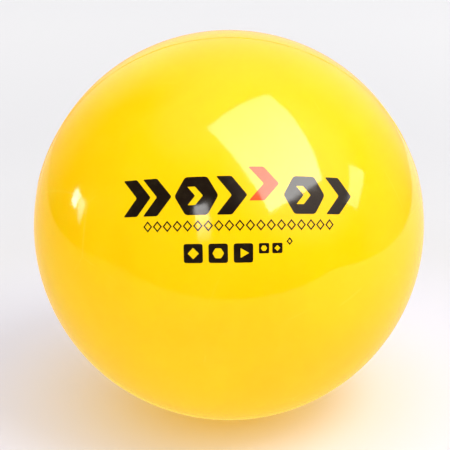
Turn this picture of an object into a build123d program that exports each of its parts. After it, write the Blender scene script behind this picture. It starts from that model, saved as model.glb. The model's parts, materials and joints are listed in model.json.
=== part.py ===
"""Soft weighted medicine ball, 120 mm across and 1 kg, for training and physiotherapy. Lengths in mm.

A moulded PVC shell holds a loose bed of iron sand. The printed side faces -Y. On the opposite side a plug
closes the filling hole, and a self-sealing rubber core in the plug takes an inflation needle.
Frame: +Z up, with the origin on the floor under the ball's centre.
"""

import os

from build123d import *

# Shell
ball_radius = 60.0
wall = 4.0
settle = 1.5  # how far the loaded ball flattens where it stands
settle_blend = 20.0  # radius of the soft edge round that flat

# Parting line of the mould: a low bead round the ball, between its front and back halves
bead_radius = 0.8
bead_proud = 0.12

# Filling plug, measured along the valve axis from the ball's centre
plug_radius = 6.5
flange_radius = 8.5
flange_outer = 57.6
flange_inner = 54.9
tube_radius = 4.4
tube_inner = 49.4
plug_recess = 0.15  # how far the plug's domed face lies below the ball's surface
plug_chamfer = 0.3

# Valve core, measured the same way
core_tip = 48.6
core_tip_radius = 1.6
bulb_inner = 50.0
bulb_outer = 52.5
bulb_radius = 3.1
neck_radius = 2.4
head_inner = 57.8
head_outer = 59.2
head_radius = 3.4
needle_radius = 1.0
needle_mouth = 58.4  # where the straight needle channel starts, under its lead-in cone
needle_depth = 8.0
lead_in_radius = 1.8

# Iron sand
sand_gap = 0.3  # clearance from the flattened wall that the sand turns past
sand_level = 5.2  # how far the sand's free surface lies below the ball's centre
sand_edge = 1.0

# Worked out from the above
centre_height = ball_radius - settle
inner_radius = ball_radius - wall
inner_floor = wall
sand_radius = centre_height - inner_floor - sand_gap
beyond = 2 * ball_radius  # reaches past the ball from its centre, for cutting shapes

valve_plane = Plane((0, 0, centre_height), x_dir=(0, 1, 0), z_dir=(1, 0, 0))
valve_axis = Axis((0, 0, centre_height), (0, 1, 0))


def standing_ball(radius, floor_height, blend, mode=Mode.ADD):
    """Revolve a ball round the ball's centre, flattened at floor_height with a soft edge of radius blend."""
    with BuildSketch(Plane.XZ) as section:
        with Locations((0, centre_height)):
            Circle(radius)
        with Locations((0, centre_height)):
            Rectangle(beyond, 2 * beyond, align=(Align.MAX, Align.CENTER), mode=Mode.SUBTRACT)
        with Locations((0, floor_height)):
            Rectangle(2 * beyond, beyond, align=(Align.CENTER, Align.MAX), mode=Mode.SUBTRACT)
        rim_of_flat = section.vertices().group_by(Axis.Y)[0].sort_by(Axis.X)[-1]
        fillet(rim_of_flat, radius=blend)
    revolve(section.sketch, axis=Axis.Z, mode=mode)


def turned_on_valve_axis(outline, mode=Mode.ADD):
    """Revolve a closed outline of (distance from the ball's centre, radius) points round the valve axis."""
    with BuildSketch(valve_plane) as section:
        with BuildLine():
            Polyline(outline, close=True)
        make_face()
    revolve(section.sketch, axis=valve_axis, mode=mode)


core_outline = [
    (core_tip, 0),
    (core_tip, core_tip_radius),
    (bulb_inner, bulb_radius),
    (bulb_outer, bulb_radius),
    (bulb_outer, neck_radius),
    (head_inner, neck_radius),
    (head_inner, head_radius),
    (head_outer, head_radius),
    (head_outer, 0),
]

plug_outline = [
    (tube_inner, 0),
    (tube_inner, tube_radius),
    (flange_inner, tube_radius),
    (flange_inner, flange_radius),
    (flange_outer, flange_radius),
    (flange_outer, plug_radius),
    (beyond, plug_radius),
    (beyond, 0),
]

# Moulded PVC skin, with its parting bead and the stepped filling hole
with BuildPart() as shell:
    standing_ball(ball_radius, 0, settle_blend)
    with BuildSketch(Plane.XY.offset(centre_height)):
        with Locations((ball_radius + bead_proud - bead_radius, 0)):
            Circle(bead_radius)
    revolve(axis=valve_axis)
    split(bisect_by=Plane.XY, keep=Keep.TOP)
    standing_ball(inner_radius, inner_floor, settle_blend, mode=Mode.SUBTRACT)
    turned_on_valve_axis(plug_outline, mode=Mode.SUBTRACT)
    mouth_of_hole = shell.edges().filter_by(GeomType.CIRCLE).sort_by(Axis.Y)[-1]
    chamfer(mouth_of_hole, plug_chamfer)
shell.part.label = "shell"

# PVC plug bonded into the filling hole, with a tube that grips the valve core
with BuildPart() as valve_plug:
    turned_on_valve_axis(plug_outline)
    with Locations((0, 0, centre_height)):
        Sphere(ball_radius - plug_recess, mode=Mode.INTERSECT)
    turned_on_valve_axis(core_outline, mode=Mode.SUBTRACT)
    turned_on_valve_axis(
        [(head_inner, 0), (head_inner, head_radius), (beyond, head_radius), (beyond, 0)],
        mode=Mode.SUBTRACT,
    )
    rims_of_face = valve_plug.edges().filter_by(GeomType.CIRCLE).sort_by(Axis.Y)[-2:]
    chamfer(rims_of_face, plug_chamfer)
valve_plug.part.label = "valve_plug"

# Rubber core: a head, a neck and a bulb that snap into the plug, with a blind channel for the needle
with BuildPart() as valve_core:
    turned_on_valve_axis(core_outline)
    turned_on_valve_axis(
        [
            (needle_mouth - needle_depth, 0),
            (needle_mouth - needle_depth, needle_radius),
            (needle_mouth, needle_radius),
            (head_outer, lead_in_radius),
            (head_outer, 0),
        ],
        mode=Mode.SUBTRACT,
    )
valve_core.part.label = "valve_core"

# Loose iron sand, lying level in the bottom of the ball
with BuildPart() as sand_fill:
    with Locations((0, 0, centre_height)):
        Sphere(sand_radius)
    split(bisect_by=Plane.XY.offset(centre_height - sand_level), keep=Keep.BOTTOM)
    fillet(sand_fill.edges().filter_by(GeomType.CIRCLE).sort_by(Axis.Z)[-1], radius=sand_edge)
sand_fill.part.label = "sand_fill"

os.makedirs("parts", exist_ok=True)
export_step(shell.part, "parts/shell.step")
export_step(valve_plug.part, "parts/valve_plug.step")
export_step(valve_core.part, "parts/valve_core.step")
export_step(sand_fill.part, "parts/sand_fill.step")
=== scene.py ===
"""Looks of a soft weighted medicine ball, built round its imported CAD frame. Lengths are in metres.

The ball is one moulded skin of glossy yellow PVC, printed on the side that faces -Y. Behind, a moulded plug
closes the filling hole and holds the rubber valve core. Inside lies a loose bed of iron sand.
"""

import json
import logging
import math
from collections.abc import Callable, Iterable, Sequence
from dataclasses import dataclass, field
from enum import Enum

import bpy
import numpy as np
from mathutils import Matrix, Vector, geometry


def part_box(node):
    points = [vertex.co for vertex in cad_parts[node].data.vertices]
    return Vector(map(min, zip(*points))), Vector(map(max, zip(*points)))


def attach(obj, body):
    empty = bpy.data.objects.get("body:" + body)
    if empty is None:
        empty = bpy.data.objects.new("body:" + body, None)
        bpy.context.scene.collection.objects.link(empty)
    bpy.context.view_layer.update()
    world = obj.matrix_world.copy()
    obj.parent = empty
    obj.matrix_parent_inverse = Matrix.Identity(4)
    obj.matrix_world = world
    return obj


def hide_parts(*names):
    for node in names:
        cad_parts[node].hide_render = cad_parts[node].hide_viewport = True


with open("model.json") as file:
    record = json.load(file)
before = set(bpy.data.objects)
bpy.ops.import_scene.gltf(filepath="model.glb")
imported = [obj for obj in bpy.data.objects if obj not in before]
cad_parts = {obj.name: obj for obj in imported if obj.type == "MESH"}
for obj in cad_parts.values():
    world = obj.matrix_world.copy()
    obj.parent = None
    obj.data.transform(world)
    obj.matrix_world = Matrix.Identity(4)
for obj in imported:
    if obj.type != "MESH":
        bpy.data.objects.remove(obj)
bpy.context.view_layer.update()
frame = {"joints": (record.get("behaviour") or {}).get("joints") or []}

LOG = logging.getLogger("medicine_ball")
MM = 0.001

Point = tuple[float, float]
Outline = list[Point]
Colour = tuple[float, float, float]


class Ink(Enum):
    """The inks of the printed panel; each value is its piece's name."""

    BLACK = "print_black"
    CORAL = "print_red"


class Lay(Enum):
    """Which way a turned piece's axis runs."""

    VALVE = "along the valve, +Y"
    UPRIGHT = "upright, +Z"


# ---------------------------------------------------------------------------------------------- materials


class Recipe:
    """A material's nodes, laid down one by one round a Principled shader."""

    def __init__(self, name: str, look: dict[str, float | tuple[float, ...]]) -> None:
        """Start a material.

        Args:
            name: the material's name.
            look: constant values for the shader's own sockets, by socket name.
        """
        self.material = bpy.data.materials.new(name)
        self.material.use_nodes = True
        self.tree = self.material.node_tree
        self.tree.nodes.clear()
        self.shader = self.node("ShaderNodeBsdfPrincipled", look)
        output = self.node("ShaderNodeOutputMaterial", {})
        self.tree.links.new(self.shader.outputs["BSDF"], output.inputs["Surface"])
        self.place = self.node("ShaderNodeTexCoord", {}).outputs["Object"]

    def node(self, kind: str, feeds: dict, **settings: object) -> bpy.types.Node:
        """Add a node.

        Args:
            kind: Blender's name for the kind of node.
            feeds: a value or another node's socket for each input, by name or number.
            settings: the node's own properties.

        Returns:
            The new node.
        """
        made = self.tree.nodes.new(kind)
        for key, value in settings.items():
            setattr(made, key, value)
        for key, value in feeds.items():
            self.feed(made.inputs[key], value)
        return made

    def feed(self, socket: bpy.types.NodeSocket, value: object) -> None:
        """Wire a socket to another one, or set its value.

        Args:
            socket: the input.
            value: another node's output, a number or a colour.
        """
        if isinstance(value, bpy.types.NodeSocket):
            self.tree.links.new(value, socket)
        elif socket.type == "RGBA" and len(value) == 3:
            socket.default_value = (*value, 1.0)
        else:
            socket.default_value = value

    def finish(self, **sockets: bpy.types.NodeSocket) -> bpy.types.Material:
        """Wire the shader's inputs.

        Args:
            sockets: what feeds each input, with _ for a space in its name.

        Returns:
            The finished material.
        """
        for key, socket in sockets.items():
            self.feed(self.shader.inputs[key.replace("_", " ")], socket)
        return self.material

    def grain(self, size: float, detail: float = 3.0, warp: float = 0.0) -> bpy.types.NodeSocket:
        """Return soft noise from 0 to 1.

        Args:
            size: the size of its largest features, in metres.
            detail: how many finer layers lie on them.
            warp: how far the noise distorts itself.

        Returns:
            The noise as a socket.
        """
        feeds = {"Vector": self.place, "Scale": 1 / size, "Detail": detail, "Distortion": warp}
        return self.node("ShaderNodeTexNoise", feeds).outputs["Fac"]

    def cells(
        self, size: float, output: str = "Distance", place: object = None, **settings: object
    ) -> bpy.types.NodeSocket:
        """Return scattered cells.

        Args:
            size: the size of a cell, in metres.
            output: Distance from a cell's middle, or its random Color.
            place: where it is read, if not at the place on the piece.
            settings: the Voronoi node's own properties.

        Returns:
            The chosen output as a socket.
        """
        feeds = {"Vector": place or self.place, "Scale": 1 / size}
        return self.node("ShaderNodeTexVoronoi", feeds, **settings).outputs[output]

    def ramp(
        self, value: object, low: float, high: float, to_low: float = 0.0, to_high: float = 1.0
    ) -> bpy.types.NodeSocket:
        """Carry a value smoothly from one range to another, held at the ends.

        Args:
            value: the socket to carry.
            low: where the change starts.
            high: where it ends.
            to_low: the result at low and before it.
            to_high: the result at high and past it.

        Returns:
            The result as a socket.
        """
        feeds = {"Value": value, "From Min": low, "From Max": high, "To Min": to_low, "To Max": to_high}
        return self.node("ShaderNodeMapRange", feeds, interpolation_type="SMOOTHSTEP").outputs["Result"]

    def maths(self, operation: str, first: object, second: object) -> bpy.types.NodeSocket:
        """Combine two values.

        Args:
            operation: Blender's name for it, such as MULTIPLY.
            first: the first socket or number.
            second: the second one.

        Returns:
            The result as a socket.
        """
        return self.node("ShaderNodeMath", {0: first, 1: second}, operation=operation).outputs[0]

    def mix(self, share: object, first: object, second: object) -> bpy.types.NodeSocket:
        """Mix two colours.

        Args:
            share: how much of the second one, from 0 to 1.
            first: the first colour or socket.
            second: the second one.

        Returns:
            The mixed colour as a socket.
        """
        feeds = {0: share, 6: first, 7: second}
        return self.node("ShaderNodeMix", feeds, data_type="RGBA").outputs[2]

    def bump(self, height: object, depth: float, under: object = None) -> bpy.types.NodeSocket:
        """Raise a fine relief.

        Args:
            height: its height, from 0 to 1.
            depth: how deep 0 to 1 is, in metres.
            under: the relief that it lies on.

        Returns:
            The relief's normal as a socket.
        """
        feeds = {"Height": height, "Distance": depth, "Strength": 1.0}
        if under is not None:
            feeds["Normal"] = under
        return self.node("ShaderNodeBump", feeds).outputs["Normal"]


@dataclass(frozen=True)
class SkinFinish:
    """Glossy soft PVC: deep yellow, faintly cloudy, with orange peel, scuffs and a few trapped specks."""

    yellow: Colour = (0.97, 0.59, 0.0022)
    deeper: Colour = (0.96, 0.56, 0.0015)
    paler: Colour = (0.97, 0.64, 0.02)
    seam: Colour = (0.80, 0.36, 0.002)
    seam_half_width: float = 0.7 * MM
    speck: Colour = (0.22, 0.13, 0.01)
    cloud_size: float = 34 * MM
    streak_size: float = 9 * MM
    peel_size: float = 2.6 * MM
    peel_depth: float = 0.010 * MM
    pore_size: float = 0.5 * MM
    pore_depth: float = 0.0012 * MM
    scuff_size: float = 30 * MM
    scuff_depth: float = 0.004 * MM
    scuff_shift: tuple[float, float, float] = (0.4, 0.4, 0.4)
    speck_spread: float = 21 * MM
    gloss: float = 0.075
    scuffed_gloss: float = 0.2
    blush_radius: tuple[float, float, float] = (1.0, 0.45, 0.08)
    blush_depth: float = 1.6 * MM
    blush: float = 0.3

    def scuffs(self, recipe: Recipe) -> bpy.types.NodeSocket:
        """Return fine curved rub marks in patches, from 0 to 1.

        Args:
            recipe: the material that they are for.

        Returns:
            The marks as a socket.
        """
        moved = recipe.node("ShaderNodeVectorMath", {0: recipe.place, 1: self.scuff_shift}, operation="ADD")
        edge = recipe.cells(self.scuff_size, place=moved.outputs[0], feature="DISTANCE_TO_EDGE")
        line = recipe.ramp(edge, 0.004, 0.012, 1.0, 0.0)
        patch = recipe.ramp(recipe.grain(self.scuff_size, 4.0, 1.5), 0.55, 0.7)
        return recipe.maths("MULTIPLY", line, patch)

    def specks(self, recipe: Recipe) -> bpy.types.NodeSocket:
        """Return the few dark specks moulded into the skin, from 0 to 1.

        Args:
            recipe: the material that they are for.

        Returns:
            The specks as a socket.
        """
        dot = recipe.ramp(recipe.cells(self.speck_spread), 0.009, 0.016, 1.0, 0.0)
        chosen = recipe.node("ShaderNodeSeparateColor", {0: recipe.cells(self.speck_spread, "Color")})
        kept = recipe.ramp(chosen.outputs[0], 0.5, 0.52)
        return recipe.maths("MULTIPLY", dot, kept)

    def seam_line(self, recipe: Recipe) -> bpy.types.NodeSocket:
        """Return the parting line's band, where y is 0, uneven along its length, from 0 to 1.

        Args:
            recipe: the material that it is for.

        Returns:
            The band as a socket.
        """
        place = recipe.node("ShaderNodeSeparateXYZ", {0: recipe.place})
        beside = recipe.node("ShaderNodeMath", {0: place.outputs[1]}, operation="ABSOLUTE").outputs[0]
        band = recipe.ramp(beside, 0.4 * self.seam_half_width, self.seam_half_width, 1.0, 0.0)
        strength = recipe.ramp(recipe.grain(self.streak_size, 3.0), 0.3, 0.6, 0.12, 0.5)
        return recipe.maths("MULTIPLY", band, strength)

    def material(self) -> bpy.types.Material:
        """Return the finished material."""
        recipe = Recipe("glossy_yellow_pvc", {
            "IOR": 1.5,
            "Subsurface Weight": self.blush,
            "Subsurface Radius": self.blush_radius,
            "Subsurface Scale": self.blush_depth,
        })
        cloud = recipe.ramp(recipe.grain(self.cloud_size, 4.0, 0.6), 0.35, 0.68)
        streak = recipe.ramp(recipe.grain(self.streak_size, 3.0, 0.3), 0.45, 0.8, 0.0, 0.35)
        scuff = self.scuffs(recipe)
        colour = recipe.mix(cloud, self.yellow, self.deeper)
        colour = recipe.mix(recipe.maths("MULTIPLY", streak, 0.5), colour, self.paler)
        colour = recipe.mix(recipe.maths("MULTIPLY", scuff, 0.5), colour, self.paler)
        colour = recipe.mix(self.seam_line(recipe), colour, self.seam)
        colour = recipe.mix(recipe.maths("MULTIPLY", self.specks(recipe), 0.75), colour, self.speck)
        worn = recipe.ramp(recipe.grain(self.scuff_size / 2, 5.0, 0.8), 0.5, 0.85, 0.0, 0.35)
        dull = recipe.maths("MAXIMUM", scuff, worn)
        gloss = recipe.ramp(dull, 0.0, 1.0, self.gloss, self.scuffed_gloss)
        peel = recipe.bump(recipe.grain(self.peel_size, 1.5), self.peel_depth)
        pores = recipe.bump(recipe.grain(self.pore_size, 2.0), self.pore_depth, peel)
        rubbed = recipe.bump(recipe.maths("SUBTRACT", 1.0, scuff), self.scuff_depth, pores)
        return recipe.finish(Base_Color=colour, Roughness=gloss, Normal=rubbed)


@dataclass(frozen=True)
class InkFinish:
    """Pad-printing ink: a thin glossy coat with slight mottling and pinholes."""

    name: str
    ink: Colour
    thin: Colour
    gloss: float = 0.08
    gloss_spread: float = 0.06
    mottle_size: float = 3 * MM
    pinhole_size: float = 1.1 * MM
    tooth_size: float = 0.35 * MM
    tooth_depth: float = 0.0015 * MM
    peel_size: float = 2.6 * MM
    peel_depth: float = 0.010 * MM

    def material(self) -> bpy.types.Material:
        """Return the finished material."""
        recipe = Recipe(self.name, {"IOR": 1.5})
        mottle = recipe.ramp(recipe.grain(self.mottle_size, 4.0, 0.5), 0.45, 0.8, 0.0, 0.22)
        hole = recipe.ramp(recipe.cells(self.pinhole_size), 0.05, 0.09, 1.0, 0.0)
        chosen = recipe.node("ShaderNodeSeparateColor", {0: recipe.cells(self.pinhole_size, "Color")})
        hole = recipe.maths("MULTIPLY", hole, recipe.ramp(chosen.outputs[0], 0.86, 0.88))
        thinned = recipe.maths("MAXIMUM", mottle, hole)
        colour = recipe.mix(thinned, self.ink, self.thin)
        dull = self.gloss + self.gloss_spread
        gloss = recipe.ramp(recipe.grain(self.mottle_size, 3.0), 0.3, 0.8, self.gloss, dull)
        peel = recipe.bump(recipe.grain(self.peel_size, 1.5), self.peel_depth)
        tooth = recipe.bump(recipe.grain(self.tooth_size, 2.0), self.tooth_depth, peel)
        return recipe.finish(Base_Color=colour, Roughness=gloss, Normal=tooth)


@dataclass(frozen=True)
class PlugFinish:
    """Satin PVC of the plug, with flow marks from its gate and patches of dust."""

    yellow: Colour = (0.93, 0.55, 0.008)
    flow: Colour = (0.90, 0.48, 0.006)
    dust: Colour = (0.55, 0.40, 0.12)
    gloss: float = 0.3
    gloss_spread: float = 0.18
    flow_size: float = 2.2 * MM
    dust_size: float = 0.8 * MM
    tool_mark_size: float = 0.4 * MM
    tool_mark_depth: float = 0.004 * MM

    def material(self) -> bpy.types.Material:
        """Return the finished material."""
        look = {"IOR": 1.5, "Subsurface Weight": 0.15, "Subsurface Scale": 1.0 * MM}
        recipe = Recipe("satin_yellow_pvc", look)
        swirl = recipe.ramp(recipe.grain(self.flow_size, 4.0, 2.0), 0.35, 0.7)
        colour = recipe.mix(swirl, self.yellow, self.flow)
        settled = recipe.ramp(recipe.grain(self.dust_size, 5.0), 0.56, 0.72, 0.0, 0.4)
        colour = recipe.mix(settled, colour, self.dust)
        dull = self.gloss + self.gloss_spread
        gloss = recipe.ramp(recipe.grain(self.flow_size, 3.0), 0.3, 0.8, self.gloss, dull)
        tooled = recipe.bump(recipe.grain(self.tool_mark_size, 2.0), self.tool_mark_depth)
        return recipe.finish(Base_Color=colour, Roughness=gloss, Normal=tooled)


@dataclass(frozen=True)
class RubberFinish:
    """Matte black rubber of the valve core, greyed by bloom."""

    black: Colour = (0.018, 0.018, 0.019)
    bloom: Colour = (0.10, 0.10, 0.105)
    bloom_size: float = 1.6 * MM
    roughness: tuple[float, float] = (0.5, 0.78)
    tooth_size: float = 0.18 * MM
    tooth_depth: float = 0.01 * MM

    def material(self) -> bpy.types.Material:
        """Return the finished material."""
        recipe = Recipe("valve_rubber", {"IOR": 1.52, "Sheen Weight": 0.12, "Sheen Roughness": 0.5})
        bloom = recipe.ramp(recipe.grain(self.bloom_size, 5.0, 0.8), 0.42, 0.75, 0.0, 0.7)
        colour = recipe.mix(bloom, self.black, self.bloom)
        gloss = recipe.ramp(recipe.grain(self.bloom_size, 4.0), 0.3, 0.75, *self.roughness)
        tooth = recipe.bump(recipe.grain(self.tooth_size, 3.0), self.tooth_depth)
        return recipe.finish(Base_Color=colour, Roughness=gloss, Normal=tooth)


@dataclass(frozen=True)
class SandFinish:
    """Iron sand: dark grains of mixed grey and brown, some of them bright faces."""

    grey: Colour = (0.045, 0.045, 0.048)
    brown: Colour = (0.10, 0.06, 0.035)
    bright: Colour = (0.32, 0.31, 0.30)
    grain_size: float = 0.55 * MM
    grain_depth: float = 0.25 * MM
    bed_size: float = 14 * MM
    roughness: tuple[float, float] = (0.35, 0.8)
    bright_share: tuple[float, float] = (0.86, 0.9)
    brightest_metal: float = 0.8

    def material(self) -> bpy.types.Material:
        """Return the finished material."""
        recipe = Recipe("iron_sand", {"IOR": 1.6})
        drawn = recipe.node("ShaderNodeSeparateColor", {0: recipe.cells(self.grain_size, "Color")})
        colour = recipe.mix(drawn.outputs[0], self.grey, self.brown)
        colour = recipe.mix(recipe.ramp(drawn.outputs[1], *self.bright_share), colour, self.bright)
        damp = recipe.ramp(recipe.grain(self.bed_size, 3.0), 0.4, 0.7, 0.0, 0.4)
        colour = recipe.mix(damp, colour, self.grey)
        metal = recipe.ramp(drawn.outputs[1], *self.bright_share, 0.0, self.brightest_metal)
        rough = recipe.ramp(drawn.outputs[2], 0.0, 1.0, *self.roughness)
        round_grains = recipe.maths("SUBTRACT", 1.0, recipe.cells(self.grain_size))
        relief = recipe.bump(round_grains, self.grain_depth)
        return recipe.finish(Base_Color=colour, Metallic=metal, Roughness=rough, Normal=relief)


@dataclass(frozen=True)
class FloorFinish:
    """Plain pale paper, hardly mottled, with painted light: a painted bluish lift in a ring round the ball,
    against the ball's shade and yellow bounce there, and painted brightening further off.

    A painted warm glow, which the paper itself gives off and which is strongest under the ball, stands in
    for the warm light that the bright skin throws on it.
    """

    pale: Colour = (0.71, 0.705, 0.71)
    greyer: Colour = (0.645, 0.64, 0.65)
    # painted light: a bluish ring round the ball that lifts the blue lost to the ball's shade and yellow
    # bounce
    painted_cool_ring: Colour = (0.72, 0.72, 0.80)
    painted_ring_rise: tuple[float, float] = (20 * MM, 50 * MM)
    painted_ring_fall: tuple[float, float] = (70 * MM, 150 * MM)
    # painted light: the paper grows paler between these distances from the ball
    painted_paler_from: tuple[float, float] = (220 * MM, 480 * MM)
    # painted warm glow: the colour of the light that the paper itself gives off near the ball
    painted_warm_glow: Colour = (1.0, 0.66, 0.0)
    painted_glow_strength: float = 0.42
    painted_glow_reach: tuple[float, float] = (-20 * MM, 100 * MM)
    mottle_size: float = 160 * MM
    mottle: float = 0.25
    fibre_size: float = 0.9 * MM
    fibre_depth: float = 0.02 * MM

    def material(self) -> bpy.types.Material:
        """Return the finished material."""
        look = {"Roughness": 0.9, "Specular IOR Level": 0.1, "Emission Color": self.painted_warm_glow}
        recipe = Recipe("pale_paper", look)
        away = recipe.node("ShaderNodeVectorMath", {0: recipe.place}, operation="LENGTH").outputs["Value"]
        mottle = recipe.ramp(recipe.grain(self.mottle_size, 2.0, 0.4), 0.3, 0.7, 0.0, self.mottle)
        # painted light: brighter paper further from the ball, darker nearer it
        further = recipe.ramp(away, *self.painted_paler_from)
        colour = recipe.mix(recipe.maths("MAXIMUM", further, mottle), self.greyer, self.pale)
        # painted light: the bluish ring round the ball, against its shade
        ring = recipe.maths(
            "MULTIPLY", recipe.ramp(away, *self.painted_ring_rise), recipe.ramp(away, *self.painted_ring_fall, 1.0, 0.0)
        )
        colour = recipe.mix(ring, colour, self.painted_cool_ring)
        # painted warm glow: the paper emits warm light, strongest under the ball and gone by 100 mm
        painted_warm_glow = recipe.ramp(away, *self.painted_glow_reach, self.painted_glow_strength, 0.0)
        fibres = recipe.bump(recipe.grain(self.fibre_size, 3.0), self.fibre_depth)
        return recipe.finish(Base_Color=colour, Emission_Strength=painted_warm_glow, Normal=fibres)


# ---------------------------------------------------------------------------------------- making of meshes


def piece_from(name: str, points: np.ndarray, faces: list[tuple[int, ...]]) -> bpy.types.Object:
    """Make a smooth-shaded object from points and faces.

    Args:
        name: the piece's name.
        points: one row of x, y, z for each point.
        faces: the points of each face, by number.

    Returns:
        The object, linked to the scene.
    """
    mesh = bpy.data.meshes.new(name)
    mesh.from_pydata(points.tolist(), [], faces)
    mesh.validate()
    mesh.shade_smooth()
    made = bpy.data.objects.new(name, mesh)
    bpy.context.scene.collection.objects.link(made)
    return made


def softened(corners: Sequence[Point], radius: float, steps: int = 4, closed: bool = True) -> Outline:
    """Round an outline's corners.

    Args:
        corners: the outline's corners in order.
        radius: how far from a corner the rounding starts, less where a side is short.
        steps: how many straight bits make up a rounded corner.
        closed: whether the last corner joins the first; the ends of an open outline stay sharp.

    Returns:
        The rounded outline.
    """
    count = len(corners)
    rounded: Outline = []
    for i, corner in enumerate(corners):
        if not closed and i in (0, count - 1):
            rounded.append(corner)
            continue
        here = Vector(corner)
        before = Vector(corners[i - 1]) - here
        after = Vector(corners[(i + 1) % count]) - here
        cut = min(radius, 0.45 * before.length, 0.45 * after.length)
        start, end = here + before.normalized() * cut, here + after.normalized() * cut
        for k in range(steps + 1):
            t = k / steps
            bend = start * (1 - t) ** 2 + here * 2 * t * (1 - t) + end * t**2
            rounded.append((bend.x, bend.y))
    return rounded


def turned(
    name: str,
    profile: Sequence[Point],
    centre: Vector,
    segments: int,
    lay: Lay = Lay.VALVE,
    reshape: Callable[[np.ndarray], np.ndarray] | None = None,
) -> bpy.types.Object:
    """Turn a profile round an axis, as on a lathe.

    Args:
        name: the piece's name.
        profile: (distance along the axis, radius) points, from one end on the axis to the other, or
            round a washer's outline and back to the first one.
        centre: the point on the axis that distances are measured from.
        segments: how many steps make a full turn.
        lay: which way the axis runs.
        reshape: changes the points, measured from the centre, before they are placed.

    Returns:
        The closed piece.
    """
    turn = np.arange(segments) * 2 * np.pi / segments
    washer = profile[0] == profile[-1]
    points: list[tuple[float, float, float]] = []
    rings: list[list[int]] = []
    for along, radius in profile[:-1] if washer else profile:
        first = len(points)
        if radius <= 0:
            points.append((0.0, 0.0, along))
            rings.append([first])
        else:
            points.extend((radius * math.cos(a), radius * math.sin(a), along) for a in turn)
            rings.append(list(range(first, first + segments)))
    if washer:
        rings.append(rings[0])
    faces: list[tuple[int, ...]] = []
    for low, high in zip(rings, rings[1:]):
        for i in range(segments):
            j = (i + 1) % segments
            if len(low) == 1:
                faces.append((low[0], high[j], high[i]))
            elif len(high) == 1:
                faces.append((low[i], low[j], high[0]))
            else:
                faces.append((low[i], low[j], high[j], high[i]))
    local = np.array(points)
    if lay is Lay.VALVE:
        local = np.column_stack((local[:, 0], local[:, 2], -local[:, 1]))
    if reshape is not None:
        local = reshape(local)
    made = piece_from(name, local + np.array(centre), faces)
    if signed_volume(made) < 0:
        made.data.flip_normals()
    return made


def signed_volume(piece: bpy.types.Object) -> float:
    """Return a closed piece's volume, which is below zero when its faces look inwards.

    Args:
        piece: a mesh object whose mesh is closed.

    Returns:
        The volume in cubic metres.
    """
    piece.data.calc_loop_triangles()
    corners = np.array([piece.data.vertices[v].co for t in piece.data.loop_triangles for v in t.vertices])
    a, b, c = corners[0::3], corners[1::3], corners[2::3]
    return float(np.einsum("ij,ij->i", a, np.cross(b, c)).sum() / 6)


def crease(piece: bpy.types.Object, degrees: float) -> None:
    """Keep edges sharper than an angle crisp under smooth shading.

    Args:
        piece: the mesh object.
        degrees: the angle.
    """
    piece.data.set_sharp_from_angle(angle=math.radians(degrees))


# ---------------------------------------------------------------------------------------------- the ball


@dataclass
class BallForm:
    """The true shape of the skin: a ball that stands on a soft-edged flat, with a faint unevenness."""

    centre: Vector
    radius: float
    wall: float = 4.0 * MM
    flat_blend: float = 20.0 * MM
    bead_radius: float = 0.8 * MM
    bead_proud: float = 0.12 * MM
    unevenness: float = 0.05 * MM
    shortest_wave: float = 26 * MM
    longest_wave: float = 75 * MM
    wave_count: int = 18
    even_foot: float = 0.25
    seed: int = 7
    waves: np.ndarray = field(init=False)
    swings: np.ndarray = field(init=False)
    phases: np.ndarray = field(init=False)

    def __post_init__(self) -> None:
        """Draw the unevenness of the moulding, once."""
        draw = np.random.default_rng(self.seed)
        ways = draw.normal(size=(self.wave_count, 3))
        ways /= np.linalg.norm(ways, axis=1)[:, None]
        lengths = draw.uniform(self.shortest_wave, self.longest_wave, self.wave_count)
        self.waves = ways * (2 * np.pi / lengths)[:, None]
        self.swings = lengths / lengths.sum() * self.unevenness * 2
        self.phases = draw.uniform(0, 2 * np.pi, self.wave_count)

    def uneven(self, local: np.ndarray) -> np.ndarray:
        """Return how far the skin stands out or in at each point.

        Args:
            local: points measured from the ball's centre.

        Returns:
            One height for each point.
        """
        return np.cos(local @ self.waves.T + self.phases) @ self.swings

    def standing(self, ways: np.ndarray, radius: float, floor: float) -> np.ndarray:
        """Return how far a standing ball's surface lies from its centre.

        Args:
            ways: unit vectors from the centre.
            radius: the ball's radius.
            floor: how far the flat lies below the centre.

        Returns:
            One distance for each way.
        """
        blend = self.flat_blend
        drop = floor - blend
        flat_edge = math.sqrt((radius - blend) ** 2 - drop**2)
        sine = np.hypot(ways[:, 0], ways[:, 1])
        cosine = -ways[:, 2]
        lean = np.arctan2(sine, cosine)
        reach = np.full(len(ways), radius)
        on_flat = lean <= math.atan2(flat_edge, floor)
        reach[on_flat] = floor / cosine[on_flat]
        on_blend = ~on_flat & (lean < math.atan2(flat_edge, drop))
        towards = flat_edge * sine[on_blend] + drop * cosine[on_blend]
        beside = flat_edge**2 + drop**2 - blend**2
        reach[on_blend] = towards + np.sqrt(towards**2 - beside)
        return reach

    def outside(self, ways: np.ndarray, lift: float = 0.0) -> np.ndarray:
        """Return the skin's outer surface, uneven except where it stands on the floor.

        Args:
            ways: unit vectors from the centre.
            lift: how far above the surface the points lie.

        Returns:
            Points measured from the centre.
        """
        floor = self.centre.z
        reach = self.standing(ways, self.radius, floor)
        height = (reach * ways[:, 2] + floor) / self.radius
        free = np.clip(height / self.even_foot, 0, 1)
        reach = reach + self.uneven(ways * self.radius) * free + lift
        return ways * reach[:, None]


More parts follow.
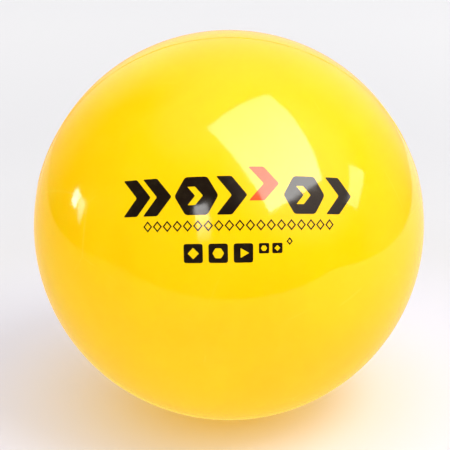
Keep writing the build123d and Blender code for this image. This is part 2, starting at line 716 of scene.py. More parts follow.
@dataclass
class Skin:
    """The moulded shell: outer skin with its parting bead, the stepped filling hole and the inner wall."""

    form: BallForm
    hole_radius: float = 6.5 * MM
    hole_chamfer: float = 0.3 * MM
    pocket_radius: float = 8.5 * MM
    step: float = 57.6 * MM
    ring_pitch: float = 1.2 * MM
    segments: int = 300
    bead_rings: tuple[float, ...] = (0.08, 0.16, 0.24, 0.32, 0.42, 0.6, 0.9)
    bead_patchiness: float = 0.35
    bead_patches: tuple[int, int] = (9, 23)
    hole_rounding: float = 0.12 * MM
    sharp: float = 40.0

    def outer_profile(self) -> Outline:
        """Return the outer surface's rings from the front pole to the filling hole."""
        radius = self.form.radius
        rim = self.hole_radius + self.hole_chamfer
        last = math.pi - math.asin(rim / radius)
        count = round(last * radius / self.ring_pitch)
        angles = [last * i / count for i in range(1, count + 1)]
        clear = self.bead_rings[-1] * MM / radius + 0.5 * self.ring_pitch / radius
        angles = [a for a in angles if abs(a - math.pi / 2) > clear]
        angles += [math.pi / 2 + side * y * MM / radius for y in self.bead_rings for side in (-1, 1)]
        angles += [math.pi / 2]
        return [(-radius, 0.0)] + [(-radius * math.cos(a), radius * math.sin(a)) for a in sorted(angles)]

    def hole_profile(self) -> Outline:
        """Return the rings of the hole's wall, from its rim inwards."""
        radius = self.form.radius
        inner = radius - self.form.wall
        rim = self.hole_radius + self.hole_chamfer
        mouth = math.sqrt(radius**2 - rim**2)
        corners = [
            (mouth, rim),
            (mouth - self.hole_chamfer, self.hole_radius),
            (self.step, self.hole_radius),
            (self.step, self.pocket_radius),
            (math.sqrt(inner**2 - self.pocket_radius**2), self.pocket_radius),
        ]
        return softened(corners, self.hole_rounding, 3, closed=False)[1:]

    def inner_profile(self) -> Outline:
        """Return the inner wall's rings from the pocket to the front pole."""
        inner = self.form.radius - self.form.wall
        first = math.pi - math.asin(self.pocket_radius / inner)
        count = round(first * inner / (2 * self.ring_pitch))
        angles = [first * (1 - i / count) for i in range(1, count)]
        return [(-inner * math.cos(a), inner * math.sin(a)) for a in angles] + [(-inner, 0.0)]

    def press(self, local: np.ndarray, outer_count: int, inner_from: int) -> np.ndarray:
        """Give the turned points the standing ball's shape, its unevenness and its parting bead.

        Args:
            local: points measured from the centre: outer ones, then the hole's, then the inner wall's.
            outer_count: how many of them are on the outer surface.
            inner_from: the number of the first one on the inner wall.

        Returns:
            The reshaped points.
        """
        form = self.form
        shaped = local.copy()
        outer = local[:outer_count]
        ways = outer / np.linalg.norm(outer, axis=1)[:, None]
        skin = form.outside(ways)
        round_section = np.sqrt(np.clip(form.bead_radius**2 - outer[:, 1] ** 2, 0, None))
        bead = np.clip(round_section - (form.bead_radius - form.bead_proud), 0, None)
        around = np.arctan2(outer[:, 0], outer[:, 2])
        few, many = self.bead_patches
        patchy = 1 + self.bead_patchiness * np.sin(few * around + 1) * np.sin(many * around)
        skin = skin + ways * (bead * patchy)[:, None]
        skin[:, 2] = np.maximum(skin[:, 2], -form.centre.z)
        shaped[:outer_count] = skin
        inner = local[inner_from:]
        ways = inner / np.linalg.norm(inner, axis=1)[:, None]
        wall_floor = form.centre.z - form.wall
        shaped[inner_from:] = ways * form.standing(ways, form.radius - form.wall, wall_floor)[:, None]
        return shaped

    def build(self) -> bpy.types.Object:
        """Make, dress and place the skin.

        Returns:
            The finished piece.
        """
        outer, hole, inner = self.outer_profile(), self.hole_profile(), self.inner_profile()
        outer_count = 1 + (len(outer) - 1) * self.segments
        inner_from = outer_count + len(hole) * self.segments
        skin = turned(
            "shell_skin",
            outer + hole + inner,
            self.form.centre,
            self.segments,
            reshape=lambda local: self.press(local, outer_count, inner_from),
        )
        crease(skin, self.sharp)
        skin.data.materials.append(SkinFinish().material())
        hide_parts("shell")
        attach(skin, "ball")
        return skin


# ------------------------------------------------------------------------------------------- the print


@dataclass(frozen=True)
class Mark:
    """One printed shape: its outline, what is left out of it, and its ink. Sizes are in mm on the panel."""

    outline: Outline
    holes: tuple[Outline, ...] = ()
    ink: Ink = Ink.BLACK


@dataclass
class PrintPanel:
    """The printed panel: a bold row of chevrons and plates, a chain of rhombs, and a row of tiles."""

    form: BallForm
    elevation: float = 24.6
    bearing: float = 2.1
    film: float = 0.03 * MM
    sunk: float = 0.03 * MM
    side_step: float = 0.6
    grid_step: float = 0.9
    clearance: float = 0.35
    row_height: float = 10.8
    row_base: float = 0.2
    chevron_stroke: float = 4.3
    chevron_point: float = 4.3
    chevron_left: tuple[float, ...] = (-32.8, -26.6, -5.4, 26.2)
    rounding: float = 0.5
    plate_at: tuple[float, ...] = (-11.0, 19.6)
    plate_radius: float = 6.2
    plate_rounding: float = 0.8
    cut_left: float = -2.5
    cut_height: float = 5.2
    cut_stroke: float = 2.2
    cut_rounding: float = 0.3
    coral_left: float = 3.6
    coral_base: float = 4.0
    coral_height: float = 9.6
    chain_from: float = -25.2
    chain_to: float = 27.2
    chain_count: int = 19
    chain_middle: float = -2.8
    chain_height: float = 3.2
    chain_line: float = 0.36
    tile_left: float = -14.8
    tile_top: float = -7.8
    tile_size: float = 5.4
    tile_gap: float = 1.6
    tile_hole: float = 0.3
    tile_rounding: float = 0.14
    tile_hole_rounding: float = 0.05
    small_tile_size: float = 2.9
    small_tile_gap: float = 0.9
    last_rhomb_in: float = 1.2
    last_rhomb_up: float = 0.4
    last_rhomb_height: float = 2.2
    last_rhomb_line: float = 0.34

    def chevron_line(self, left: float, base: float, height: float, stroke: float, point: float) -> Outline:
        """Return the outline of a chevron that points right.

        Args:
            left: its left edge.
            base: its lower edge.
            height: its height.
            stroke: the width of its arms, measured level.
            point: how far its tip stands out from its ends.

        Returns:
            The outline.
        """
        middle, top = base + height / 2, base + height
        return [
            (left, base),
            (left + stroke, base),
            (left + stroke + point, middle),
            (left + stroke, top),
            (left, top),
            (left + point, middle),
        ]

    def many_sided(self, u: float, v: float, radius: float, sides: int) -> Outline:
        """Return the outline of a regular shape with a corner to the right.

        Args:
            u: its middle, to the right.
            v: its middle, upwards.
            radius: how far its corners lie from its middle.
            sides: how many sides it has.

        Returns:
            The outline.
        """
        turns = [2 * math.pi * i / sides for i in range(sides)]
        return [(u + radius * math.cos(a), v + radius * math.sin(a)) for a in turns]

    def plate(self, middle: float) -> Mark:
        """Return a six-sided plate with a chevron cut out of it.

        Args:
            middle: where its middle lies along the row.

        Returns:
            The mark.
        """
        height = self.row_base + self.row_height / 2
        stroke, base = self.cut_stroke, height - self.cut_height / 2
        cut = self.chevron_line(middle + self.cut_left, base, self.cut_height, stroke, stroke)
        outline = self.many_sided(middle, height, self.plate_radius, 6)
        return Mark(softened(outline, self.plate_rounding), (softened(cut, self.cut_rounding),))

    def rhomb(self, middle: float, height_at: float, height: float, line: float) -> Mark:
        """Return a thin-lined rhomb.

        Args:
            middle: where its middle lies along the row.
            height_at: where its middle lies up the panel.
            height: its height.
            line: the width of its line.

        Returns:
            The mark.
        """
        half_high, half_wide = height / 2, 0.42 * height
        inset = line * math.hypot(half_high, half_wide)
        rings = []
        for high, wide in (
            (half_high, half_wide),
            (half_high - inset / half_wide, half_wide - inset / half_high),
        ):
            rings.append([
                (middle + wide, height_at),
                (middle, height_at + high),
                (middle - wide, height_at),
                (middle, height_at - high),
            ])
        return Mark(rings[0], (rings[1],))

    def tile(self, left: float, size: float, hole_sides: int) -> Mark:
        """Return a square tile with a many-sided hole.

        Args:
            left: its left edge.
            size: its side.
            hole_sides: how many sides the hole has.

        Returns:
            The mark.
        """
        top = self.tile_top
        box = [(left, top - size), (left + size, top - size), (left + size, top), (left, top)]
        hole = self.many_sided(left + size / 2, top - size / 2, self.tile_hole * size, hole_sides)
        hole = softened(hole, self.tile_hole_rounding * size)
        return Mark(softened(box, self.tile_rounding * size), (hole,))

    def marks(self) -> list[Mark]:
        """Return every mark of the panel."""
        stroke, point = self.chevron_stroke, self.chevron_point
        drawn = []
        for left in self.chevron_left:
            line = self.chevron_line(left, self.row_base, self.row_height, stroke, point)
            drawn.append(Mark(softened(line, self.rounding)))
        drawn += [self.plate(middle) for middle in self.plate_at]
        coral = self.chevron_line(self.coral_left, self.coral_base, self.coral_height, stroke, point)
        drawn.append(Mark(softened(coral, self.rounding), ink=Ink.CORAL))
        pitch = (self.chain_to - self.chain_from) / (self.chain_count - 1)
        for i in range(self.chain_count):
            middle = self.chain_from + pitch * i
            drawn.append(self.rhomb(middle, self.chain_middle, self.chain_height, self.chain_line))
        left = self.tile_left
        large, small = (self.tile_size, self.tile_gap), (self.small_tile_size, self.small_tile_gap)
        for sides, (size, gap) in ((4, large), (6, large), (3, large), (6, small), (4, small)):
            drawn.append(self.tile(left, size, sides))
            left += size + gap
        middle, height_at = left + self.last_rhomb_in, self.tile_top + self.last_rhomb_up
        drawn.append(self.rhomb(middle, height_at, self.last_rhomb_height, self.last_rhomb_line))
        return drawn

    def ways(self, flat: np.ndarray) -> np.ndarray:
        """Wrap points of the panel on to the ball, true to their distance from its middle.

        Args:
            flat: one row of right, up in mm for each point.

        Returns:
            Unit vectors from the ball's centre.
        """
        tilt, side = math.radians(self.elevation), math.radians(self.bearing)
        out = np.array([math.sin(side) * math.cos(tilt), -math.cos(side) * math.cos(tilt), math.sin(tilt)])
        right = np.array([math.cos(side), math.sin(side), 0.0])
        up = np.cross(out, right)
        distance = np.hypot(flat[:, 0], flat[:, 1])
        angle = distance * MM / self.form.radius
        share = np.sin(angle) / np.maximum(distance, 1e-9)
        return np.cos(angle)[:, None] * out + share[:, None] * (flat[:, :1] * right + flat[:, 1:] * up)

    def sides(self, ring: Outline) -> Outline:
        """Divide an outline's long sides, so that it can bend with the ball.

        Args:
            ring: the outline.

        Returns:
            The outline with more points.
        """
        points: Outline = []
        for (u0, v0), (u1, v1) in zip(ring, ring[1:] + ring[:1]):
            parts = max(1, math.ceil(math.hypot(u1 - u0, v1 - v0) / self.side_step))
            points += [(u0 + (u1 - u0) * i / parts, v0 + (v1 - v0) * i / parts) for i in range(parts)]
        return points

    def inside(self, points: np.ndarray, rings: Iterable[Outline]) -> np.ndarray:
        """Tell which points lie in the inked part of a mark.

        Args:
            points: one row of right, up for each point.
            rings: the mark's outline and its holes.

        Returns:
            True or false for each point.
        """
        within = np.zeros(len(points), bool)
        for ring in rings:
            a = np.array(ring)
            b = np.roll(a, -1, axis=0)
            for (u0, v0), (u1, v1) in zip(a, b):
                crosses = (v0 > points[:, 1]) != (v1 > points[:, 1])
                if v0 != v1:
                    at = u0 + (points[:, 1] - v0) * (u1 - u0) / (v1 - v0)
                    within ^= crosses & (points[:, 0] < at)
        return within

    def away(self, points: np.ndarray, rings: Iterable[Outline]) -> np.ndarray:
        """Return each point's distance from the nearest corner point of a mark.

        Args:
            points: one row of right, up for each point.
            rings: the mark's outline and its holes, with their sides divided.

        Returns:
            One distance for each point.
        """
        corners = np.concatenate([np.array(r) for r in rings])
        gaps = points[:, None, :] - corners[None, :, :]
        return np.hypot(gaps[:, :, 0], gaps[:, :, 1]).min(axis=1)

    def filled(self, mark: Mark) -> tuple[np.ndarray, list[tuple[int, ...]], list[tuple[int, int]]]:
        """Fill a mark with small triangles.

        Args:
            mark: the mark.

        Returns:
            Its flat points, its triangles, and the edges round it.
        """
        rings = [self.sides(list(r)) for r in (mark.outline, *mark.holes)]
        outline = np.array(rings[0])
        low, high = outline.min(axis=0), outline.max(axis=0)
        us = np.arange(low[0], high[0], self.grid_step)
        vs = np.arange(low[1], high[1], self.grid_step)
        grid = np.array([(u, v) for u in us for v in vs])
        keep = self.inside(grid, rings) & (self.away(grid, rings) > self.clearance)
        points: list[Vector] = []
        edges: list[tuple[int, int]] = []
        for ring in rings:
            first, count = len(points), len(ring)
            points += [Vector(p) for p in ring]
            edges += [(first + i, first + (i + 1) % count) for i in range(count)]
        points += [Vector(p) for p in grid[keep]]
        flat, _, faces, *_ = geometry.delaunay_2d_cdt(points, edges, [], 0, 1e-6)
        placed = np.array([tuple(p) for p in flat])
        middles = np.array([placed[list(f)].mean(axis=0) for f in faces])
        inked = self.inside(middles, rings)
        triangles = [tuple(f) for f, wanted in zip(faces, inked) if wanted]
        sides = {(a, b) for f in triangles for a, b in zip(f, f[1:] + f[:1])}
        rim = [(a, b) for a, b in sides if (b, a) not in sides]
        return placed, triangles, rim

    def film_piece(self, ink: Ink) -> bpy.types.Object:
        """Lay all marks of one ink on the skin as a closed film.

        Args:
            ink: the ink.

        Returns:
            The piece, shaded as round as the skin under it.
        """
        points: list[np.ndarray] = []
        faces: list[tuple[int, ...]] = []
        shades: list[np.ndarray] = []
        base = 0
        for mark in (m for m in self.marks() if m.ink is ink):
            flat, triangles, rim = self.filled(mark)
            ways = self.ways(flat)
            count = len(flat)
            points += [self.form.outside(ways, self.film), self.form.outside(ways, -self.sunk)]
            shades += [ways, -ways]
            faces += [tuple(base + i for i in t) for t in triangles]
            faces += [tuple(base + count + i for i in reversed(t)) for t in triangles]
            faces += [(base + b, base + a, base + count + a, base + count + b) for a, b in rim]
            base += 2 * count
        placed = np.concatenate(points) + np.array(self.form.centre)
        film = piece_from(ink.value, placed, faces)
        self.shade(film, np.concatenate(shades))
        return film

    def shade(self, film: bpy.types.Object, ways: np.ndarray) -> None:
        """Shade the film's top like the skin, and its thin sides flat.

        Args:
            film: the film.
            ways: the way out of the ball at each of its points.
        """
        mesh = film.data
        normals: list[Vector] = []
        for face in mesh.polygons:
            whole_side = len(face.vertices) == 4
            for v in face.vertices:
                normals.append(face.normal.copy() if whole_side else Vector(ways[v]))
        mesh.normals_split_custom_set(normals)

    def build(self) -> list[bpy.types.Object]:
        """Make, dress and place both inks.

        Returns:
            The finished pieces.
        """
        finishes = {
            Ink.BLACK: InkFinish("black_ink", (0.012, 0.007, 0.004), (0.045, 0.033, 0.012)),
            Ink.CORAL: InkFinish("coral_ink", (0.95, 0.078, 0.008), (0.94, 0.16, 0.02)),
        }
        films = []
        for ink, finish in finishes.items():
            film = self.film_piece(ink)
            film.data.materials.append(finish.material())
            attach(film, "ball")
            films.append(film)
        return films


# ---------------------------------------------------------------------------------------------- the valve


@dataclass
class Valve:
    """The filling plug and the rubber core in it, turned on the valve axis."""

    centre: Vector
    ball_radius: float
    segments: int = 160
    plug_radius: float = 6.5 * MM
    flange_radius: float = 8.5 * MM
    flange_outer: float = 57.6 * MM
    flange_inner: float = 54.9 * MM
    tube_radius: float = 4.4 * MM
    tube_inner: float = 49.4 * MM
    recess: float = 0.15 * MM
    chamfer: float = 0.3 * MM
    groove_radius: float = 5.1 * MM
    groove_width: float = 0.35 * MM
    groove_depth: float = 0.16 * MM
    tip: float = 48.6 * MM
    tip_radius: float = 1.6 * MM
    bulb_inner: float = 50.0 * MM
    bulb_outer: float = 52.5 * MM
    bulb_radius: float = 3.1 * MM
    neck_radius: float = 2.4 * MM
    head_inner: float = 57.8 * MM
    head_outer: float = 59.2 * MM
    head_radius: float = 3.4 * MM
    needle_radius: float = 1.0 * MM
    needle_mouth: float = 58.4 * MM
    needle_depth: float = 8.0 * MM
    lead_in_radius: float = 1.8 * MM
    slack: float = 0.03 * MM
    plug_rounding: float = 0.14 * MM
    core_rounding: float = 0.22 * MM
    sharp: float = 35.0

    def dome(self, radius: float) -> float:
        """Return where the plug's face lies along the axis at a radius.

        Args:
            radius: the distance from the axis.

        Returns:
            The distance from the ball's centre along the axis.
        """
        return math.sqrt((self.ball_radius - self.recess) ** 2 - radius**2)

    def plug_profile(self) -> Outline:
        """Return the plug's outline, from the tube's inner end round the outside and back down its bore."""
        tube = self.bulb_radius + self.slack
        head = self.head_radius + self.slack
        neck = self.neck_radius + self.slack
        rim = self.plug_radius - self.chamfer
        outside = [
            (self.tube_inner, tube - self.chamfer),
            (self.tube_inner, self.tube_radius),
            (self.flange_inner, self.tube_radius),
            (self.flange_inner, self.flange_radius),
            (self.flange_outer, self.flange_radius),
            (self.flange_outer, self.plug_radius),
            (self.dome(self.plug_radius) - self.chamfer, self.plug_radius),
            (self.dome(rim), rim),
        ]
        middle, width = self.groove_radius, self.groove_width
        bottom = self.dome(middle) - self.groove_depth
        groove = [
            (self.dome(middle + width), middle + width),
            (bottom, middle + 0.5 * width),
            (bottom, middle - 0.5 * width),
            (self.dome(middle - width), middle - width),
        ]
        bore = [
            (self.dome(head + self.chamfer), head + self.chamfer),
            (self.dome(head) - self.chamfer, head),
            (self.head_inner - self.slack, head),
            (self.head_inner - self.slack, neck),
            (self.bulb_outer + self.slack, neck),
            (self.bulb_outer + self.slack, tube),
            (self.bulb_inner, tube),
        ]
        ring = softened(outside + groove + bore, self.plug_rounding, 3)
        return ring + ring[:1]

    def core_profile(self) -> Outline:
        """Return the core's outline, from its inner tip round the outside and down the needle channel."""
        bottom = self.needle_mouth - self.needle_depth
        corners = [
            (self.tip, 0.0),
            (self.tip, self.tip_radius),
            (self.bulb_inner, self.bulb_radius),
            (self.bulb_outer, self.bulb_radius),
            (self.bulb_outer, self.neck_radius),
            (self.head_inner, self.neck_radius),
            (self.head_inner, self.head_radius),
            (self.head_outer, self.head_radius),
            (self.head_outer, self.lead_in_radius),
            (self.needle_mouth, self.needle_radius),
            (bottom, self.needle_radius),
            (bottom, 0.0),
        ]
        return softened(corners, self.core_rounding, 4, closed=False)

    def build(self) -> list[bpy.types.Object]:
        """Make, dress and place the plug and the core.

        Returns:
            The finished pieces.
        """
        plug = turned("valve_plug_moulding", self.plug_profile(), self.centre, self.segments)
        core = turned("valve_core_rubber", self.core_profile(), self.centre, self.segments)
        dressing = (
            (plug, PlugFinish().material(), "valve_plug"),
            (core, RubberFinish().material(), "valve_core"),
        )
        for piece, material, node in dressing:
            crease(piece, self.sharp)
            piece.data.materials.append(material)
            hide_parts(node)
            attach(piece, "ball")
        return [plug, core]


# ----------------------------------------------------------------------------------------------- the sand


@dataclass
class SandBed:
    """The loose iron sand: a bed with a rippled, nearly level top, held by the round wall."""

    centre: Vector
    radius: float
    level: float
    segments: int = 180
    ring_pitch: float = 1.0 * MM
    ripple: float = 0.35 * MM
    ripple_length: float = 9 * MM
    ripple_count: int = 12
    edge: float = 1.0 * MM
    sharp: float = 50.0
    seed: int = 11

    def profile(self) -> Outline:
        """Return the bed's outline, from its lowest point up the wall and in to the middle of its top."""
        widest = math.sqrt(self.radius**2 - self.level**2)
        last = math.pi / 2 - math.asin(self.level / self.radius)
        count = round(last * self.radius / (2 * self.ring_pitch))
        angles = [last * i / count for i in range(1, count)]
        wall = [(-self.radius * math.cos(a), self.radius * math.sin(a)) for a in angles]
        corner = [wall[-1], (-self.level, widest), (-self.level, widest - 2 * self.edge)]
        corner = softened(corner, self.edge, 4, closed=False)
        rings = round((widest - 3 * self.edge) / self.ring_pitch)
        top = [(-self.level, (widest - 3 * self.edge) * (1 - i / rings)) for i in range(rings)]
        return [(-self.radius, 0.0)] + wall + corner[1:] + top + [(-self.level, 0.0)]

    def settle(self, local: np.ndarray) -> np.ndarray:
        """Ripple the top, and leave its edge and the wall as they are.

        Args:
            local: points measured from the ball's centre.

        Returns:
            The reshaped points.
        """
        draw = np.random.default_rng(self.seed)
        ways = draw.normal(size=(self.ripple_count, 2))
        ways *= 2 * np.pi / self.ripple_length / np.linalg.norm(ways, axis=1)[:, None]
        phases = draw.uniform(0, 2 * np.pi, len(ways))
        swell = np.cos(local[:, :2] @ ways.T + phases).mean(axis=1)
        out = np.hypot(local[:, 0], local[:, 1])
        free = np.clip((self.radius - 4 * self.edge - out) / (6 * self.edge), 0, 1)
        on_top = np.abs(local[:, 2] + self.level) < 0.01 * MM
        shaped = local.copy()
        shaped[:, 2] += np.where(on_top, self.ripple * free * (2 * swell - 1), 0.0)
        return shaped

    def build(self) -> bpy.types.Object:
        """Make, dress and place the sand.

        Returns:
            The finished piece.
        """
        bed = turned("sand_bed", self.profile(), self.centre, self.segments, Lay.UPRIGHT, self.settle)
        crease(bed, self.sharp)
        bed.data.materials.append(SandFinish().material())
        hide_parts("sand_fill")
        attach(bed, "sand")
        return bed


# --------------------------------------------------------------------------------------------- the studio


@dataclass(frozen=True)
class Glow:
    """A broad soft patch of brightness that only reflections see.

    bearing is in degrees round the ball from the front to its right, height in degrees above level. The
    glow is even within core degrees of that way and fades out at spread degrees.
    """

    bearing: float
    height: float
    core: float
    spread: float
    light: Colour


@dataclass(frozen=True)
class Lamp:
    """A round soft light that points at the ball and does not show in its gloss.

    bearing and height are in degrees, as for a Glow; distance and size are in metres, power in watts.
    """

    name: str
    bearing: float
    height: float
    distance: float
    size: float
    power: float
    colour: Colour = (1.0, 1.0, 1.0)


@dataclass(frozen=True)
class Card:
    """A bright four-cornered card that only reflections see, each corner a (bearing, height) in degrees."""

    name: str
    corners: tuple[Point, Point, Point, Point]
    strengths: tuple[float, float, float, float]
    tint: Colour = (1.0, 0.99, 0.97)


def towards(bearing: float, height: float) -> Vector:
    """Return the unit vector at a bearing from the front and a height above level.

    Args:
        bearing: degrees from the front, -Y, to the right, +X.
        height: degrees above level.

    Returns:
        The vector.
    """
    turn, rise = math.radians(bearing), math.radians(height)
    return Vector((math.sin(turn) * math.cos(rise), -math.cos(turn) * math.cos(rise), math.sin(rise)))


@dataclass
class Studio:
    """A pale floor, soft light, the bright cards that show in the gloss, and the camera."""

    centre: Vector
    radius: float
    floor_reach: float = 6.0
    reflected_floor: tuple[float, float, float, float] = (-0.40, 0.33, -0.22, 0.45)
    reflected_corners: tuple[Colour, Colour, Colour, Colour] = (
        (0.90, 0.50, 0.02),
        (1.05, 0.80, 0.50),
        (1.30, 1.15, 1.00),
        (1.15, 0.76, 0.34),
    )
    under_ball: Colour = (1.10, 0.88, 0.16)
    under_ball_reach: float = 0.07
    card_distance: float = 1.5
    sheet_cuts: int = 32
    dome_radius: float = 3.0
    sky: Colour = (0.97, 0.975, 1.0)
    sky_strength: float = 0.93
    camera_height: float = 22.0
    camera_distance: float = 0.55
    lens_length: float = 142.3
    sensor: float = 36.0
    camera_shift: float = -0.0087
    cards: tuple[Card, ...] = (
        Card("window", ((-43.3, 74.3), (130.9, 67.9), (67.2, 32.5), (25.4, 26.5)), (4.2, 3.9, 9.4, 9.0)),
        Card("left_pane", ((-104.4, 9.2), (-98.7, 8.4), (-100.0, 2.3), (-104.9, 3.1)), (11, 11, 11, 11)),
        Card("left_curtain", ((-98.0, 8.3), (-92.5, 8.4), (-93.4, -1.4), (-98.6, 3.3)), (6.5, 5.5, 2.5, 4)),
        Card("right_pane", ((92.4, 28.0), (98.5, 20.0), (80.8, 11.1), (75.7, 16.4)), (4.2, 3.8, 2.9, 4.2)),
        Card("front_lamp", ((-22.4, 30.8), (-13.7, 33.4), (-9.5, 12.9), (-16.6, 10.2)), (10.5, 9.5, 0, 0)),
    )
    lamps: tuple[Lamp, ...] = (
        Lamp("key", 62, 58, 1.3, 0.7, 5.8),
        Lamp("top", 0, 85, 1.3, 0.9, 2.3),
        Lamp("right", 95, 25, 2.6, 1.4, 10.4),
        Lamp("low_front", -5, 12, 5.0, 2.0, 59.5, (1.0, 0.98, 0.92)),
    )
    glows: tuple[Glow, ...] = (
        Glow(165, 30, 15, 60, (0.78, 0.66, 0.58)),
        Glow(58, 45, 12, 47, (1.15, 1.00, 0.90)),
        Glow(0, 88, 5, 45, (0.40, 0.34, 0.30)),
        Glow(-75, 75, 5, 30, (0.36, 0.30, 0.26)),
        Glow(180, 0, 15, 60, (0.30, 0.20, 0.16)),
        Glow(105, 0, 5, 30, (0.35, 0.26, 0.22)),
        Glow(-130, -5, 20, 70, (0.50, 0.24, 0.01)),
        Glow(-145, 12, 5, 32, (0.40, 0.34, 0.15)),
    )

    def stand(self, name: str, points: list[Vector], faces: list[tuple[int, ...]]) -> bpy.types.Object:
        """Make a piece of the studio.

        Args:
            name: its name.
            points: its points.
            faces: its faces, by the numbers of their points.

        Returns:
            The object.
        """
        made = piece_from(name, np.array([tuple(p) for p in points]), faces)
        return made

    def lay_floor(self) -> None:
        """Lay the pale floor, and the dimmer sheet that stands for it in the gloss."""
        reach = self.floor_reach
        floor = self.stand("floor", self.level_corners(-reach, reach, -reach, reach), [(0, 1, 2, 3)])
        floor.data.materials.append(FloorFinish().material())
        floor.visible_glossy = False
        self.graded_sheet(
            "reflected_floor",
            self.level_corners(*self.reflected_floor),
            self.reflected_corners,
            self.warmer_under_ball,
        )

    def warmer_under_ball(self, place: Vector, light: Vector) -> Vector:
        """Return the light of the floor in the gloss, which is warm under the ball.

        Args:
            place: a point of the floor.
            light: its light away from the ball.

        Returns:
            Its light.
        """
        near = max(0.0, 1 - (place.xy - self.centre.xy).length / self.under_ball_reach)
        return light.lerp(Vector(self.under_ball), near * (2 - near))

    def level_corners(self, left: float, right: float, front: float, back: float) -> list[Vector]:
        """Return the corners of a level rectangle on the floor.

        Args:
            left: its lowest x.
            right: its highest x.
            front: its lowest y.
            back: its highest y.

        Returns:
            Four points, anticlockwise from above.
        """
        return [Vector((x, y, 0)) for x, y in ((left, front), (right, front), (right, back), (left, back))]

    def emitter(self, name: str) -> tuple[bpy.types.Material, bpy.types.NodeTree]:
        """Start a material that only gives light.

        Args:
            name: its name.

        Returns:
            The material, and its nodes with an Emission node wired to the output.
        """
        material = bpy.data.materials.new(name)
        material.use_nodes = True
        tree = material.node_tree
        tree.nodes.clear()
        emission = tree.nodes.new("ShaderNodeEmission")
        output = tree.nodes.new("ShaderNodeOutputMaterial")
        tree.links.new(emission.outputs[0], output.inputs["Surface"])
        return material, tree

    def only_reflected(self, piece: bpy.types.Object) -> None:
        """Hide a piece from everything but reflections.

        Args:
            piece: the piece.
        """
        piece.visible_camera = False
        piece.visible_diffuse = False
        piece.visible_transmission = False
        piece.visible_volume_scatter = False
        piece.visible_shadow = False

    def hang_card(self, card: Card) -> None:
        """Hang one bright card.

        Args:
            card: what it is.
        """
        corners = [self.centre + towards(*corner) * self.card_distance for corner in card.corners]
        self.graded_sheet(f"card_{card.name}", corners, [Vector(card.tint) * k for k in card.strengths])

    def graded_sheet(
        self,
        name: str,
        corners: Sequence[Vector],
        lights: Sequence[Colour],
        change: Callable[[Vector, Vector], Vector] | None = None,
    ) -> None:
        """Make a sheet whose light is graded between its four corners, and which only the gloss shows.

        Args:
            name: its name.
            corners: its corners, in order round it.
            lights: the light at each corner.
            change: changes the light at a point, if given.
        """
        cuts = self.sheet_cuts
        grid: list[Vector] = []
        shine: list[float] = []
        for i in range(cuts + 1):
            for j in range(cuts + 1):
                s, t = i / cuts, j / cuts
                shares = ((1 - s) * (1 - t), s * (1 - t), s * t, (1 - s) * t)
                place = sum((p * w for p, w in zip(corners, shares)), Vector())
                light = sum((Vector(c) * w for c, w in zip(lights, shares)), Vector())
                if change is not None:
                    light = change(place, light)
                grid.append(place)
                shine += [*light, 1.0]
        step = cuts + 1
        faces = [
            (i * step + j, (i + 1) * step + j, (i + 1) * step + j + 1, i * step + j + 1)
            for i in range(cuts)
            for j in range(cuts)
        ]
        sheet = self.stand(name, grid, faces)
        sheet.data.attributes.new("shine", "FLOAT_COLOR", "POINT").data.foreach_set("color", shine)
        material, tree = self.emitter(name)
        read = tree.nodes.new("ShaderNodeAttribute")
        read.attribute_name = "shine"
        tree.links.new(read.outputs["Color"], tree.nodes["Emission"].inputs["Color"])
        sheet.data.materials.append(material)
        self.only_reflected(sheet)

    def raise_dome(self) -> None:
        """Raise the dim dome whose broad glows tint the gloss."""
        bpy.ops.mesh.primitive_uv_sphere_add(radius=self.dome_radius, location=self.centre)
        dome = bpy.context.object
        dome.name = "reflected_room"
        material, tree = self.emitter(dome.name)
        material.cycles.emission_sampling = "NONE"
        place = tree.nodes.new("ShaderNodeTexCoord").outputs["Object"]
        way = tree.nodes.new("ShaderNodeVectorMath")
        way.operation = "NORMALIZE"
        tree.links.new(place, way.inputs[0])
        total = None
        for glow in self.glows:
            facing = tree.nodes.new("ShaderNodeVectorMath")
            facing.operation = "DOT_PRODUCT"
            tree.links.new(way.outputs[0], facing.inputs[0])
            facing.inputs[1].default_value = towards(glow.bearing, glow.height)
            fade = tree.nodes.new("ShaderNodeMapRange")
            fade.interpolation_type = "SMOOTHSTEP"
            fade.inputs["From Min"].default_value = math.cos(math.radians(glow.spread))
            fade.inputs["From Max"].default_value = math.cos(math.radians(glow.core))
            tree.links.new(facing.outputs["Value"], fade.inputs["Value"])
            light = tree.nodes.new("ShaderNodeVectorMath")
            light.operation = "SCALE"
            light.inputs[0].default_value = glow.light
            tree.links.new(fade.outputs["Result"], light.inputs["Scale"])
            if total is None:
                total = light.outputs[0]
                continue
            add = tree.nodes.new("ShaderNodeVectorMath")
            tree.links.new(total, add.inputs[0])
            tree.links.new(light.outputs[0], add.inputs[1])
            total = add.outputs[0]
        tree.links.new(total, tree.nodes["Emission"].inputs["Color"])
        dome.data.materials.append(material)
        self.only_reflected(dome)

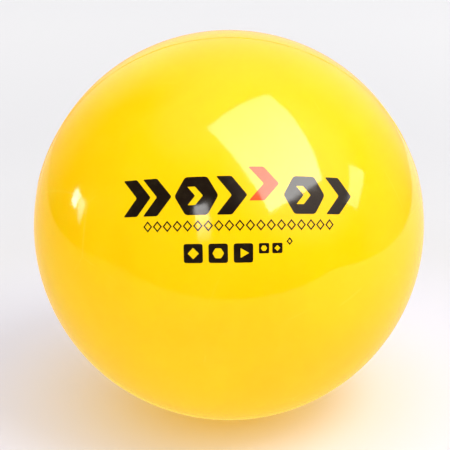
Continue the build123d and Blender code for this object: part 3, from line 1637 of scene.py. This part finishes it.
    def light(self) -> None:
        """Set the even sky and the soft lamps, none of which shows in the gloss."""
        world = bpy.data.worlds.new("even_sky")
        world.use_nodes = True
        background = world.node_tree.nodes["Background"]
        background.inputs["Color"].default_value = (*self.sky, 1.0)
        background.inputs["Strength"].default_value = self.sky_strength
        world.cycles_visibility.glossy = False
        bpy.context.scene.world = world
        for lamp in self.lamps:
            light = bpy.data.lights.new(lamp.name, "AREA")
            light.shape = "DISK"
            light.size = lamp.size
            light.energy = lamp.power
            light.color = lamp.colour
            hung = bpy.data.objects.new(lamp.name, light)
            bpy.context.scene.collection.objects.link(hung)
            self.aim(hung, self.centre + towards(lamp.bearing, lamp.height) * lamp.distance)
            hung.visible_glossy = False

    def aim(self, thing: bpy.types.Object, place: Vector) -> None:
        """Stand a light or camera somewhere and point it at the ball's centre.

        Args:
            thing: the light or camera.
            place: where it stands.
        """
        thing.location = place
        thing.rotation_euler = (self.centre - place).to_track_quat("-Z", "Y").to_euler()

    def set_camera(self) -> None:
        """Set the camera in front of the print and a little above it."""
        lens = bpy.data.cameras.new("camera")
        camera = bpy.data.objects.new("camera", lens)
        bpy.context.scene.collection.objects.link(camera)
        self.aim(camera, self.centre + towards(0, self.camera_height) * self.camera_distance)
        lens.sensor_width = self.sensor
        lens.lens = self.lens_length
        lens.shift_x = self.camera_shift
        bpy.context.scene.camera = camera

    def build(self) -> None:
        """Set up the whole studio."""
        self.lay_floor()
        for card in self.cards:
            self.hang_card(card)
        self.raise_dome()
        self.light()
        self.set_camera()
        bpy.context.scene.view_settings.view_transform = "Standard"


def main() -> None:
    """Build the ball piece by piece, then the studio, and report each."""
    logging.basicConfig(level=logging.INFO, format="%(message)s")
    centre = Vector(frame["joints"][0]["pos_m"])
    radius = round(-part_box("shell")[0].y, 4)
    sand_low, sand_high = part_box("sand_fill")
    form = BallForm(centre, radius)
    pieces = [Skin(form).build(), *PrintPanel(form).build(), *Valve(centre, radius).build()]
    pieces.append(SandBed(centre, centre.z - sand_low.z, centre.z - sand_high.z).build())
    for piece in pieces:
        LOG.info("%s: %d faces", piece.name, len(piece.data.polygons))
    Studio(centre, radius).build()
    LOG.info("studio set")


if __name__ == "__main__":
    main()
